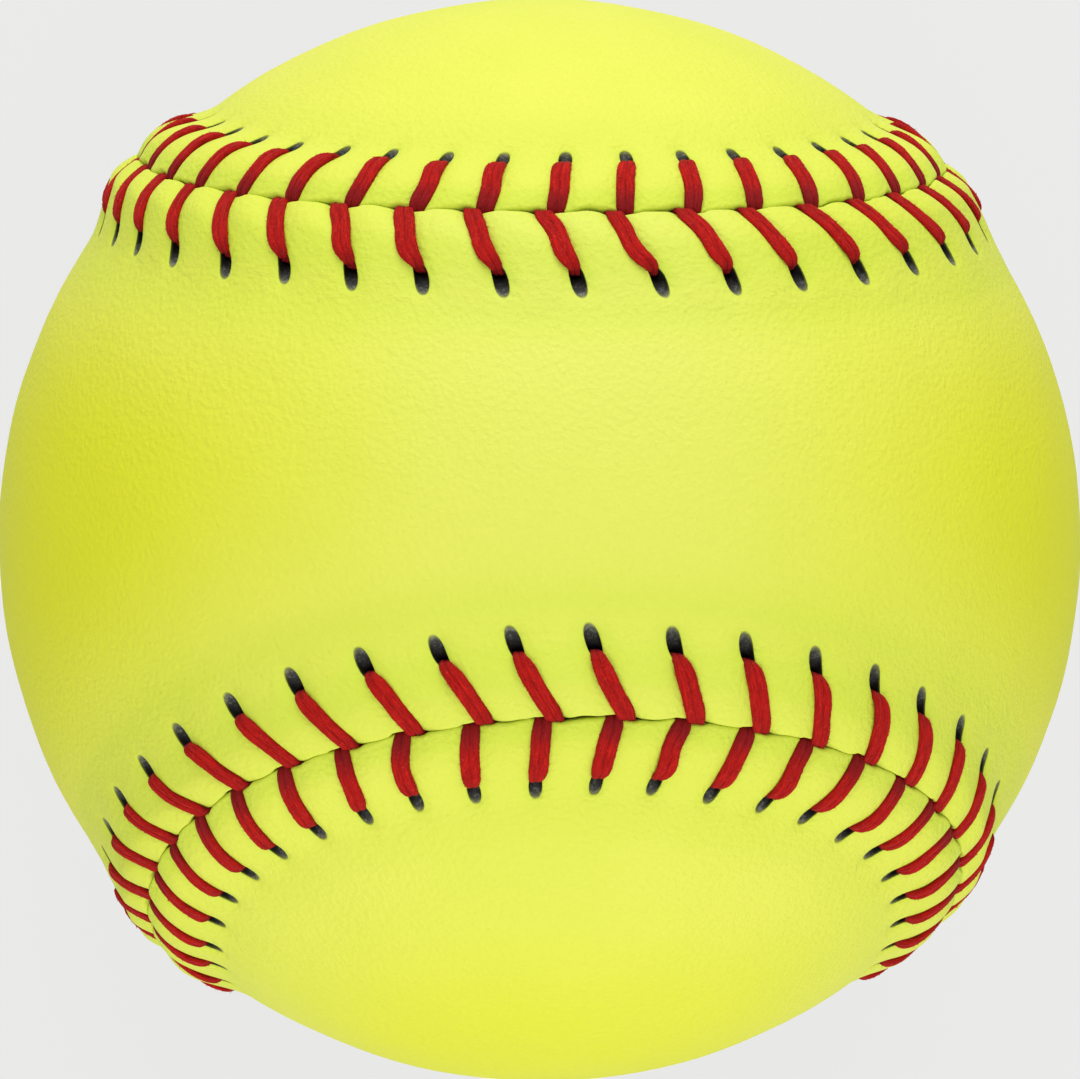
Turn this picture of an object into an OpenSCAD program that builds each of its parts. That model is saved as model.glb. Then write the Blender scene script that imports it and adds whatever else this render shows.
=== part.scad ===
// Softball: a cork core, a yarn winding and a coat of rubber cement, closed in by two leather
// panels that are sewn edge to edge with two red threads, each in one unbroken length.
// The ball's centre is the origin. The top panel's narrow waist faces +Z and its two round
// lobes face +X and -X. The bottom panel's waist faces -Z and its lobes face +Y and -Y.

/* [Ball] */
// Distance round the smooth leather of the finished ball
ball_round = 279.4; // [265:0.1:310]
// Clearance between one layer and the next, where the glue lies
layer_gap = 0.1; // [0.05:0.05:0.2]

/* [Inside] */
// Diameter of the cork and rubber core
core_d = 58; // [40:1:76]
// Thickness of the rubber cement over the yarn
coat_t = 0.8; // [0.4:0.1:1.5]

/* [Leather] */
// Thickness of the leather
leather_t = 1.4; // [1.3:0.05:1.6]
// Width of the slit between the edges of the two panels
slit_w = 0.9; // [0.8:0.05:1.1]
// Height of the leather's cut edges over the smooth leather
edge_h = 1; // [0.9:0.05:1.3]
// Height of the raised seam's crests over the smooth leather
crest_h = 1.5; // [1.3:0.05:1.8]
// How far each stitch draws the raised seam down
pinch_h = 0.25; // [0.05:0.05:0.3]
// Distance from the seam line to the crests
crest_d = 2.3; // [2:0.1:2.8]
// Distance from the seam line to the flanks, halfway down to the needle holes
flank_d = 4.2; // [3.8:0.1:4.5]
// Distance from the seam line to the shoulders, past the needle holes
shoulder_d = 8.4; // [7.9:0.1:8.9]
// Distance from the seam line to the foot of the raised seam
foot_d = 9.5; // [9:0.1:10]

/* [Stitches] */
// Number of stitches in each panel, all round the seam
stitches = 88; // [80:4:96]
// Distance from the seam line to the needle holes of the top panel
top_hole_d = 6.1; // [5.8:0.1:6.6]
// Distance from the seam line to the needle holes of the bottom panel
bottom_hole_d = 5.8; // [5.6:0.1:6.6]
// Width of a needle hole
hole_w = 1.2; // [1.1:0.05:1.5]
// Length of a needle hole, along its stitch
hole_len = 2.6; // [2.2:0.05:2.7]

/* [Thread] */
// Width of a thread where it lies on the leather
thread_w = 1.5; // [1.2:0.05:1.7]
// Thickness of a thread where it lies on the leather
thread_t = 0.75; // [0.6:0.05:0.8]
// Width of a thread drawn together in its needle hole
drawn_w = 0.9; // [0.7:0.05:1]
// Width of a thread in the slit and under the leather
hidden_w = 1.1; // [0.9:0.05:1.2]
// Thickness of a thread pressed flat in the slit and under the leather
hidden_t = 0.5; // [0.4:0.05:0.55]
// Clearance between a thread and what it lies on
thread_gap = 0.1; // [0.05:0.05:0.15]

/* [Hidden] */

// Radii of the layers, from the outside in
ball_r = ball_round / (2 * PI);
under_r = ball_r - leather_t;
coat_r = under_r - layer_gap;
winding_r = coat_r - coat_t - layer_gap;
core_r = core_d / 2;

// The seam swings out to the lobes by this share of its mean circle
lobe_share = 0.5035;
// The seam rises and falls by this share of its mean circle
rise_share = 1.0103;
// Where the first stitch lies, and how far the two legs of a stitch pass each other in the
// slit, as shares of the stitch pitch
phase_share = 0.46;
cross_share = 0.12;
// How far the needle holes trail behind the stitch, as shares of the stitch pitch
top_lean_share = 0.4;
bottom_lean_share = 0.3;
// How far below the leather the trimmed inside of a panel reaches before it is cut round
sink = 1.5;
// Overrun of the cutters beyond the surfaces that they cut
overrun = 1;
// Distance from the seam line to where the smooth leather begins
field_d = foot_d + overrun;
// Mesh columns beside the seam, two for each stitch, and over the smooth leather, and the
// rings of points inside it
seam_columns = 2 * stitches;
field_columns = stitches;
inner_rings = 3;
// Sides of a thread, and of the round layers and needle holes when they are drawn
thread_sides = 6;
round_fn = 200;
hole_fn = 24;

// Colours
leather_colour = [0.86, 0.92, 0.33];
thread_colour = [0.76, 0.09, 0.11];

// Basic vectors and angles
function unit(v) = v / norm(v);
function arc_angle(d) = d / ball_r * 180 / PI;
function between(a, b, share) = a + (b - a) * share;
function bend(a, b, share) =
    let (angle = acos(a * b))
    (a * sin((1 - share) * angle) + b * sin(share * angle)) / sin(angle);

// The seam line as directions from the ball's centre, for an angle u once round the ball
function seam_curve(u) = [
    cos(u) - lobe_share * cos(3 * u),
    sin(u) + lobe_share * sin(3 * u),
    -rise_share * cos(2 * u)
];
function seam_speed(u) = [
    -sin(u) + 3 * lobe_share * sin(3 * u),
    cos(u) + 3 * lobe_share * cos(3 * u),
    2 * rise_share * sin(2 * u)
];
function seam_dir(u) = unit(seam_curve(u));
function seam_along(u) =
    let (p = seam_dir(u), v = seam_speed(u))
    unit(v - (v * p) * p);

// Length along the seam, so that the stitches are evenly spaced
seam_steps = 720;
seam_angles = [for (i = [0 : seam_steps]) 360 * i / seam_steps];
seam_lengths = [
    for (i = 0, s = 0; i <= seam_steps; i = i + 1,
        s = s + (i > seam_steps ? 0 : norm(seam_dir(seam_angles[i]) - seam_dir(seam_angles[i - 1]))))
    s
];
seam_table = [for (i = [0 : seam_steps]) [seam_lengths[i] / seam_lengths[seam_steps], seam_angles[i]]];

// Angle u at a place counted in stitches along the seam
function seam_angle(place) =
    let (turns = place / stitches)
    360 * floor(turns) + lookup(turns - floor(turns), seam_table);

// Direction of a point at a place along the seam and a distance d to its side. Positive
// distances lie on the top panel and negative ones on the bottom panel.
function beside_seam(place, d) =
    let (u = seam_angle(place), p = seam_dir(u), n = cross(p, seam_along(u)), a = arc_angle(d))
    p * cos(a) + n * sin(a);

// Raised seam: height of the leather over the ball at a distance d from the seam line
function bead(d) =
    d < crest_d ? crest_h - (crest_h - edge_h) * pow((crest_d - d) / crest_d, 2) :
    d < foot_d ? crest_h * pow(cos(90 * (d - crest_d) / (foot_d - crest_d)), 2) :
    0;
// The part of the pinch that is left at a distance d
function pinch_share(d) = d < flank_d ? 1 : max(0, (shoulder_d - d) / (shoulder_d - flank_d));
function leather_r(d, pinched) = ball_r + bead(d) - pinched * pinch_h * pinch_share(d);

// Sizes that differ between the top panel, side 1, and the bottom panel, side -1
function hole_d(side) = side > 0 ? top_hole_d : bottom_hole_d;
function lean_share(side) = side > 0 ? top_lean_share : bottom_lean_share;

// Place of a stitch's leg at a distance d from the seam line: it runs straight from the slit
// to its needle hole
function leg_place(side, index, d) =
    index + phase_share + between(side * cross_share, -lean_share(side), d / hole_d(side));

// Middle line of a panel: the angle from its waist towards a lobe, for an angle u counted
// from that lobe's end. It turns round the lobe's centre and then runs on past the waist.
lobe_centre = 107;
lobe_end = 10;
waist_power = 3.2;
turn_power = 1.15;
end_power = 6;
function middle_angle(u) =
    let (
        v = abs(u - 360 * round(u / 360)),
        near = 1 - abs(v > 90 ? 180 - v : v) / 90,
        turn = pow(1 - pow(1 - near, waist_power), turn_power),
        a = lobe_centre * turn + lobe_end * pow(near, end_power)
    )
    v > 90 ? -a : a;
function middle_dir(side, a) = side > 0 ? [sin(a), 0, cos(a)] : [0, sin(a), -cos(a)];

// Ring of points of a panel beside the seam, its columns following the stitches' legs
function leg_ring(side, start, d, thickness) = [
    for (i = [0 : seam_columns - 1])
    beside_seam(start + leg_place(side, i / 2, d), side * d)
        * (leather_r(d, (i + 1) % 2) - thickness)
];
// Ring of points of a panel round its smooth field
function field_ring(side, start, d, r) = [
    for (i = [0 : field_columns - 1])
    beside_seam(start + i * stitches / field_columns, side * d) * r
];
function inner_ring(side, start, share) = [
    for (i = [0 : field_columns - 1])
    let (place = i * stitches / field_columns)
    bend(
        beside_seam(start + place, side * field_d),
        middle_dir(side, middle_angle(seam_angle(place))),
        share
    ) * ball_r
];
function middle_row(side, r) = [
    for (i = [0 : field_columns / 2])
    middle_dir(side, middle_angle(seam_angle(i * stitches / field_columns))) * r
];

// Triangles between a ring of n points from index a and the next ring, from index b
function strip(a, b, n) = [
    for (i = [0 : n - 1])
    let (j = (i + 1) % n)
    each [[a + i, a + j, b + j], [a + i, b + j, b + i]]
];
// Triangles from a ring of n points to one of half as many
function halving(a, b, n) = [
    for (i = [0 : n / 2 - 1])
    let (j = (i + 1) % (n / 2), a2 = a + (2 * i + 2) % n)
    each [[a + 2 * i, a + 2 * i + 1, b + i], [a + 2 * i + 1, b + j, b + i], [a + 2 * i + 1, a2, b + j]]
];
// Triangles from a ring of n points to the middle row, which both halves of the ring share.
// Their slant turns away from the row's ends, so that none lies flat in the row's plane.
function closing(a, b, n) = [
    for (i = [0 : n - 1])
    let (j = (i + 1) % n, bi = b + min(i, n - i), bj = b + min(i + 1, n - i - 1))
    each i % (n / 2) < n / 4 ?
        [[a + i, a + j, bi], [a + j, bj, bi]] :
        [[a + i, a + j, bj], [a + i, bj, bi]]
];
function turned(faces) = [for (f = faces) [f[2], f[1], f[0]]];

// A panel before its inside is cut round: the leather's outside from the slit to the middle
// row, and its inside, which is lifted under the raised seam and sinks past it
module panel_blank(side) {
    start = side > 0 ? 0 : stitches / 4;
    edge_d = slit_w / 2;
    points = concat(
        leg_ring(side, start, edge_d, 0),
        leg_ring(side, start, crest_d, 0),
        leg_ring(side, start, flank_d, 0),
        leg_ring(side, start, hole_d(side), 0),
        leg_ring(side, start, shoulder_d, 0),
        field_ring(side, start, field_d, ball_r),
        [for (k = [1 : inner_rings]) each inner_ring(side, start, k / (inner_rings + 1))],
        middle_row(side, ball_r),
        leg_ring(side, start, edge_d, leather_t),
        field_ring(side, start, (crest_d + flank_d) / 2, leather_r(crest_d, 0) - leather_t),
        field_ring(side, start, shoulder_d, leather_r(shoulder_d, 0) - leather_t),
        field_ring(side, start, field_d, under_r - sink),
        middle_row(side, under_r - sink)
    );
    n = seam_columns;
    m = field_columns;
    smooth = 5 * n;
    middle = smooth + (inner_rings + 1) * m;
    lip = middle + m / 2 + 1;
    inside = lip + n;
    outside_faces = concat(
        [for (k = [0 : 3]) each strip(k * n, (k + 1) * n, n)],
        halving(4 * n, smooth, n),
        [for (k = [0 : inner_rings - 1]) each strip(smooth + k * m, smooth + (k + 1) * m, m)],
        closing(middle - m, middle, m)
    );
    inside_faces = concat(
        strip(0, lip, n),
        halving(lip, inside, n),
        [for (k = [0 : 1]) each strip(inside + k * m, inside + (k + 1) * m, m)],
        closing(inside + 2 * m, inside + 3 * m, m)
    );
    faces = concat(outside_faces, turned(inside_faces));
    polyhedron(points, side > 0 ? turned(faces) : faces);
}

// Cutter for one needle hole, an oval along its stitch
module needle_hole(side, index) {
    d = hole_d(side);
    up = beside_seam(leg_place(side, index, d), side * d);
    to_slit = beside_seam(leg_place(side, index, flank_d), side * flank_d);
    y = unit(cross(up, to_slit));
    x = cross(y, up);
    half = (hole_len - hole_w) / 2;
    base = up * (under_r - overrun);
    multmatrix([
        [x[0], y[0], up[0], base[0]],
        [x[1], y[1], up[1], base[1]],
        [x[2], y[2], up[2], base[2]],
        [0, 0, 0, 1]
    ])
    linear_extrude(height = leather_t + crest_h + 2 * overrun) {
        translate([-half, 0]) circle(d = hole_w, $fn = hole_fn);
        translate([half, 0]) circle(d = hole_w, $fn = hole_fn);
        translate([-half, -hole_w / 2]) square([2 * half, hole_w]);
    }
}

module cover_panel(side) {
    difference() {
        panel_blank(side);
        sphere(r = under_r, $fn = round_fn);
        for (i = [0 : stitches - 1]) needle_hole(side, i);
    }
}

// Path of a thread: each leg comes up through a needle hole, crosses the raised seam, goes
// down the slit and runs under the other panel to that panel's next hole. An entry holds the
// point, the seam's direction there, and the thread's width and thickness.
function thread_stop(place, d, r, w, t) = [beside_seam(place, d) * r, seam_along(seam_angle(place)), w, t];
function thread_leg(side, index) =
    let (
        hidden_r = coat_r + 2 * thread_gap + hidden_t / 2,
        in_hole_d = hole_d(side) - hole_len / 2 + hole_w / 2 + thread_gap,
        rest = thread_gap + thread_t / 2,
        slit_place = leg_place(side, index, 0),
        hole_place = leg_place(side, index, in_hole_d),
        edge_r = leather_r(slit_w / 2, 1)
    )
    [
        thread_stop(hole_place, side * in_hole_d, hidden_r, drawn_w, hidden_t),
        thread_stop(hole_place, side * in_hole_d, leather_r(in_hole_d, 1) + rest, drawn_w, hidden_t),
        thread_stop(leg_place(side, index, flank_d), side * flank_d,
            leather_r(flank_d, 1) + rest, thread_w, thread_t),
        thread_stop(leg_place(side, index, crest_d), side * crest_d,
            leather_r(crest_d, 1) + rest, thread_w, thread_t),
        thread_stop(slit_place, side * thread_gap, edge_r + rest, hidden_w, hidden_t),
        thread_stop(slit_place, 0, hidden_r, hidden_w, hidden_t)
    ];
function thread_path(side) = [
    for (i = [0 : stitches - 1])
    each thread_leg(i % 2 == 0 ? side : -side, i)
];

// Tube along a path, its flat side kept to the seam's direction and mitred at each bend
module thread(side) {
    path = thread_path(side);
    last = len(path) - 1;
    rings = [
        for (i = [0 : last])
        let (
            p = path[i][0],
            before = unit(i == 0 ? path[1][0] - p : p - path[i - 1][0]),
            after = i == last ? before : unit(path[i + 1][0] - p),
            along = unit(before + after),
            across = unit(path[i][1] - (path[i][1] * along) * along),
            up = cross(along, across) / (along * after)
        )
        [
            for (k = [0 : thread_sides - 1])
            let (a = 360 * k / thread_sides)
            p + across * cos(a) * path[i][2] / 2 + up * sin(a) * path[i][3] / 2
        ]
    ];
    n = thread_sides;
    sides = [for (i = [0 : last - 1]) each turned(strip(i * n, (i + 1) * n, n))];
    start_cap = [[for (k = [0 : n - 1]) k]];
    end_cap = [[for (k = [n - 1 : -1 : 0]) last * n + k]];
    polyhedron([for (ring = rings) each ring], concat(sides, start_cap, end_cap));
}

module core() {
    color([0.62, 0.44, 0.28]) sphere(r = core_r, $fn = round_fn);
}

module layer(outer_r, inner_r) {
    difference() {
        sphere(r = outer_r, $fn = round_fn);
        sphere(r = inner_r, $fn = round_fn);
    }
}

module yarn_winding() {
    color([0.88, 0.85, 0.78]) layer(winding_r, core_r + layer_gap);
}

module cement_coat() {
    color([0.78, 0.68, 0.48]) layer(coat_r, winding_r + layer_gap);
}

module top_cover_panel() {
    color(leather_colour) cover_panel(1);
}

module bottom_cover_panel() {
    color(leather_colour) cover_panel(-1);
}

module first_thread() {
    color(thread_colour) thread(1);
}

module second_thread() {
    color(thread_colour) thread(-1);
}

core();
yarn_winding();
cement_coat();
top_cover_panel();
bottom_cover_panel();
first_thread();
second_thread();
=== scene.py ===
import math

import bpy
import numpy as np
from mathutils import Matrix, Vector
from mathutils.geometry import delaunay_2d_cdt

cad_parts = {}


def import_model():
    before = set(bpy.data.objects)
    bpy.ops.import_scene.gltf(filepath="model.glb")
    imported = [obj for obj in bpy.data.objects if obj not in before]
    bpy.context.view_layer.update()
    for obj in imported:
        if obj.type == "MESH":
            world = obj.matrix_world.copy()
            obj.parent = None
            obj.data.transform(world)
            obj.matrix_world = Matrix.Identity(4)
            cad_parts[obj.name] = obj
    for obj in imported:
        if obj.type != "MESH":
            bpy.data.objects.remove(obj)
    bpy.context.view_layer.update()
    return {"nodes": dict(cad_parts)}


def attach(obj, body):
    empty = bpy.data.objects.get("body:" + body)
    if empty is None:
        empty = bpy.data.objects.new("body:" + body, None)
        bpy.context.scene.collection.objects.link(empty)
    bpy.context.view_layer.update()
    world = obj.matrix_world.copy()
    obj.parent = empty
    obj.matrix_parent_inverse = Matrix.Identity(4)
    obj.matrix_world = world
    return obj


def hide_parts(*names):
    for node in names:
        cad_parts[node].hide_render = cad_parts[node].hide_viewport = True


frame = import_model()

# Sizes are in millimetres and angles in radians. A place along the seam is counted in
# stitches, and a distance beside it is positive on the top panel and negative on the bottom.
MM = 0.001
TURN = 2 * math.pi

# The ball, its layers and its seam line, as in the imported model
BALL_R = 279.4 / TURN
LEATHER_T = 1.4
LAYER_GAP, THREAD_GAP, HIDDEN_T = 0.1, 0.1, 0.5
HIDDEN_R = BALL_R - LEATHER_T - LAYER_GAP + 2 * THREAD_GAP + HIDDEN_T / 2
LOBE_SHARE, RISE_SHARE = 0.5035, 1.0103
STITCHES = 88
PHASE_SHARE, CROSS_SHARE = 0.46, 0.12


def unit(v):
    return v / np.linalg.norm(v, axis=-1, keepdims=True)


def smooth(low, high, x):
    """0 up to low and 1 from high on, with a soft rise between them."""
    t = np.clip((x - low) / (high - low), 0, 1)
    return t * t * (3 - 2 * t)


# ---- The seam line ----

SEAM_STEPS = 7200


def seam_frame(u):
    """Direction of the seam's point at angle u, along the seam there, and into the top panel."""
    curve = [
        np.cos(u) - LOBE_SHARE * np.cos(3 * u),
        np.sin(u) + LOBE_SHARE * np.sin(3 * u),
        -RISE_SHARE * np.cos(2 * u),
    ]
    speed = [
        -np.sin(u) + 3 * LOBE_SHARE * np.sin(3 * u),
        np.cos(u) + 3 * LOBE_SHARE * np.cos(3 * u),
        2 * RISE_SHARE * np.sin(2 * u),
    ]
    p = unit(np.stack(curve, -1))
    v = np.stack(speed, -1)
    t = unit(v - (v * p).sum(-1, keepdims=True) * p)
    return p, t, np.cross(p, t)


seam_angles = np.linspace(0, TURN, SEAM_STEPS + 1)
seam_steps = np.linalg.norm(np.diff(seam_frame(seam_angles)[0], axis=0), axis=1)
seam_shares = np.concatenate([[0], np.cumsum(seam_steps)])
PITCH = BALL_R * seam_shares[-1] / STITCHES
seam_shares /= seam_shares[-1]


def seam_at(place):
    """The same three directions at a place along the seam."""
    rounds = place / STITCHES
    whole = np.floor(rounds)
    return seam_frame(TURN * whole + np.interp(rounds - whole, seam_shares, seam_angles))


def beside_seam(place, d):
    """Direction of the point at a distance beside a place of the seam."""
    p, t, n = seam_at(place)
    a = (d / BALL_R)[..., None]
    return p * np.cos(a) + n * np.sin(a)


def waves(place, parts):
    """A sum of waves that closes round the seam. Each part has a count, a height and a start."""
    return sum(h * np.sin(TURN * (n * place / STITCHES + start)) for n, h, start in parts)


SLIT_WAVES = [(88, 0.07, 0.1), (61, 0.05, 0.4), (137, 0.04, 0.7), (203, 0.025, 0.2)]


def slit_middle(place):
    """The slit wanders a little to either side of the seam line."""
    return waves(place, SLIT_WAVES)


# ---- The leather beside the seam ----

# Height of the crests, the share of it that is left at the slit, and the crests' distance from
# the slit
CREST_H, EDGE_SHARE, CREST_D = 1.24, 0.66, 2.4
# The raised seam is a little higher in some places than in others
RIDGE_WAVES = [(1, 0.121, 0.818), (2, 0.055, 0.488), (3, 0.073, 0.198)]
# A place where the raised seam's foot lies furthest out
FOOT_PLACE = 12
# Under each thread a groove: its half width as a share of the pitch, its depth, and the share
# of it that is lost on the flank
GROOVE_SHARE, GROOVE_H, GROOVE_LOSS, GROOVE_FALL = 0.16, 0.38, 0.5, (2, 5)
# Between two threads a pillow, which ends on the flank
PILLOW_H, PINCH_FALL = 0.33, (1.6, 5.2)
# A shallow dimple round each needle hole, a little past its middle
DIMPLE_H, DIMPLE_W, DIMPLE_LEN, DIMPLE_PAST = 0.26, 0.95, 1.3, 0.3
# Distances past the needle hole over which the groove and the holes' shifts fade out, and the
# distance over which the shifts fade in
PAST_HOLE, SHIFT_FALL = (-0.5, 1.8), (1.8, 3.4)
SHIFT_RISE = (1.5, 4)
# Radius of the leather's edge
LIP_R = 0.28
# Half the slit's width where a thread goes down, where it is shut, and where it may stand open.
# It opens within these shares of the pitch from the thread.
OPEN_GAP, CLOSED_GAP = 0.18, 0.004
OPEN_RANGE = (0.17, 0.29)
POCKETS = np.array([0.0, 0.0, 0.0, 0.0, 0.03, 0.07])
# Where the photograph shows the slit: the places between stitches at which it stands open
SHOWN_STRETCHES = [(13, 32), (54, 77)]
SHOWN_POCKETS = {
    17: 0.1, 18: 0.05, 20: 0.1, 21: 0.14, 22: 0.1, 28: 0.08,
    64: 0.05, 65: 0.16, 66: 0.05,
}
# How far a leg's end at the slit lies ahead of its stitch, how softly the leg's lean ends at
# the needle hole, and the share of the lean that is left beyond
MOUTH_SHARE = 0.095
SETTLE_SHARE = 0.06
PAST_LEAN = 0.38
# A place between the seam's turns, and how much narrower the legs are in the turns
STRAIGHT_PLACE = 22
NARROWED = 0.17
# How much the stitches differ: spreads round a value, and ranges
MOUTH_SPREAD, LEAN_SPREAD, BOW_SPREAD, WIDTH_SPREAD = 0.012, 0.022, 0.035, 0.035
HOLE_SHIFT = 0.13
PILLOW_RANGE, BULGE_RANGE = (0.7, 1.3), (0.1, 1.2)


def bead(place, d, foot_d):
    """Height of the raised seam over the ball, where its flank ends at foot_d."""
    inner = 1 - (1 - EDGE_SHARE) * ((CREST_D - d) / CREST_D) ** 2
    fall = np.clip((d - CREST_D) / (foot_d - CREST_D), 0, 1)
    share = np.where(d < CREST_D, inner, np.cos(math.pi / 2 * fall) ** 2)
    return CREST_H * share * (1 + waves(place, RIDGE_WAVES))


def settle(share):
    """Rises with share up to 1 and then stays there, with a soft bend."""
    return share - np.logaddexp(0, (share - 1) / SETTLE_SHARE) * SETTLE_SHARE


def turns(place):
    """1 in the seam's four turns, where the stitches are drawn tighter, and 0 between them."""
    return (1 - np.cos(4 * TURN * (place - STRAIGHT_PLACE) / STITCHES)) / 2


pockets = POCKETS[np.random.default_rng(5).integers(0, len(POCKETS), STITCHES)]
for low, high in SHOWN_STRETCHES:
    pockets[low:high] = 0
for interval, gap in SHOWN_POCKETS.items():
    pockets[interval] = gap


class Side:
    """One panel's side of the seam, with what differs from stitch to stitch."""

    def __init__(self, sign, foot, lean, hole, drawn, block_half, seed):
        self.sign = sign
        self.foot_d, self.foot_wave = foot
        lean, self.lean_d = lean
        self.hole_d, self.hole_half, self.hole_w = hole
        self.block_half = block_half
        rng = np.random.default_rng(seed)
        in_turns = turns(np.arange(STITCHES))
        self.mouth = sign * MOUTH_SHARE + rng.normal(0, MOUTH_SPREAD, STITCHES)
        self.lean = -lean + rng.normal(0, LEAN_SPREAD, STITCHES)
        self.bow = rng.normal(0, BOW_SPREAD, STITCHES)
        self.hole_shift = rng.uniform(-HOLE_SHIFT, HOLE_SHIFT, STITCHES) - drawn * in_turns
        self.pillow = rng.uniform(*PILLOW_RANGE, STITCHES)
        self.width = rng.normal(1, WIDTH_SPREAD, STITCHES) - NARROWED * in_turns
        self.bulge = rng.uniform(*BULGE_RANGE, STITCHES)

    def leg(self, i, d):
        """Place of leg i at a distance from the seam."""
        j = i % STITCHES
        share = settle(d / self.lean_d)
        share += PAST_LEAN * (d / self.lean_d - share)
        bow = self.bow[j] * np.sin(math.pi * np.clip(share, 0, 1))
        return i + PHASE_SHARE + self.mouth[j] * (1 - share) + self.lean[j] * share + bow

    def mixed(self, values, i, s):
        """A stitch's value, turning into its neighbour's towards the next stitch."""
        beyond = values[(i + np.where(s < 0, -1, 1)) % STITCHES]
        return values[i % STITCHES] * (1 - abs(s)) + beyond * abs(s)

    def place(self, i, s, d):
        """Place of column s, from -0.5 to 0.5 round leg i."""
        beyond = self.leg(i + np.where(s < 0, -1, 1), d)
        return self.leg(i, d) * (1 - abs(s)) + beyond * abs(s)

    def past_hole(self, span, q):
        """A soft rise over a span of distances that is counted from the needle hole's middle."""
        return smooth(self.hole_d + span[0], self.hole_d + span[1], q)

    def distance(self, i, s, q):
        """The distance beside the seam: q, shifted round each needle hole."""
        window = smooth(*SHIFT_RISE, q) * (1 - self.past_hole(SHIFT_FALL, q))
        return q + window * self.mixed(self.hole_shift, i, s)

    def bead(self, place, q):
        """Height of the raised seam, whose foot lies further out in two opposite places."""
        wave = self.foot_wave * np.cos(2 * TURN * (place - FOOT_PLACE) / STITCHES)
        return bead(place, q, self.foot_d + wave)

    def outer(self, i, s, q):
        """Radius of the leather's outside."""
        pinch = 1 - smooth(*PINCH_FALL, q)
        past = self.past_hole(PAST_HOLE, q)
        groove = np.exp(-((s / GROOVE_SHARE) ** 2)) * (1 - past)
        groove = groove * (1 - GROOVE_LOSS * smooth(*GROOVE_FALL, q))
        interval = (i - (s < 0)) % STITCHES
        pillow = np.sin(math.pi * abs(s)) ** 2 * self.pillow[interval] * pinch
        x, y = s * PITCH / DIMPLE_W, (q - self.hole_d - DIMPLE_PAST) / DIMPLE_LEN
        dimple = np.exp(-(x**2) - y**2)
        raised = BALL_R + self.bead(i + s, q)
        return raised + PILLOW_H * pillow - GROOVE_H * groove - DIMPLE_H * dimple

    def under(self, i, s, q):
        """Radius of the leather's inside."""
        return BALL_R + self.bead(i + s, q) - LEATHER_T

    def edge(self, i, s):
        """Distance of the panel's edge from the seam: the slit opens for the threads."""
        off = abs(s + self.sign * CROSS_SHARE)
        opened = 1 - smooth(*OPEN_RANGE, off)
        place = self.place(i, s, np.zeros_like(s))
        gap = CLOSED_GAP + pockets[(i - (s < 0)) % STITCHES] * np.sin(math.pi * abs(s)) ** 2
        return gap + (OPEN_GAP - gap) * opened + self.sign * slit_middle(place)


# The foot's distance from the slit and how far it wanders, the share of the pitch that a leg
# trails by and the distance where it does, the holes' distance, half length and width, how far
# they are drawn in at the seam's turns, and half the length of the finer mesh round them
TOP = Side(
    1, foot=(9.6, 1.0), lean=(0.4, 5.5), hole=(6.02, 1.36, 1.04), drawn=0.66,
    block_half=1.95, seed=11,
)
BOTTOM = Side(
    -1, foot=(7.8, 0.0), lean=(0.3, 5.1), hole=(5.85, 1.14, 1.16), drawn=0.0,
    block_half=1.85, seed=12,
)

# ---- The panels' mesh ----

# Columns of one stitch, and the columns and rows of the block round its needle hole
COLUMNS = 16
BLOCK_LO, BLOCK_HI = 4, 12
BLOCK_ROWS = 8
# Added to a corner's number where it is the next stitch's corner
NEXT = 10**6
SURFACE, LIP, WALL = range(3)
# Rows of the slit's wall, each a share of the leather's depth and how much painted shade it has
# there, and the lip's angles in degrees
WALL_ROWS = [(1, 1), (0.6, 1), (0.25, 0.3)]
LIP_ROWS = [0, 30, 60, 90]
# Rings from the block's edge to the rim of the needle hole, and on down the hole, each a scale
# of the hole and a share of the leather's depth
SURFACE_RINGS = [0.7, 0.42, 0.2, 0]
UNDER_RINGS = [0.4]
HOLE_RINGS = [(1.03, 0.05), (1, 0.18), (0.96, 0.42), (0.91, 0.7), (0.86, 1)]
# The rim ring's scale of the hole, and how much of the hole's painted shade it has
RIM_SCALE, RIM_SHADE_SHARE = 1.07, 0.85
# The hole's outline is a little squared, and its outer end slopes inwards with its depth
ROUNDING = 0.86
SLOPE, SLOPE_POWER = 1.5, 0.85
# The hole's outer end is painted grey, as light that catches its slope, less so with its depth,
# where painted shade takes over
GREY_RISE, GREY_POWER = (0.1, 1.1), 2.2
# Distances of the first and last rows, steps between the rows, and the distances of two more
# rows that have fewer corners
FIRST_D, LAST_D = 1.05, 10.5
CREST_STEP, FOOT_STEP, INSIDE_STEP = 0.34, 0.42, 1.2
FIELD_D = [11.3, 12.5]
# Spacing of the smooth leather's points, and the share of it that they keep from the last row
FIELD_SPACING, FIELD_MARGIN = 1.7, 0.75


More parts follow.
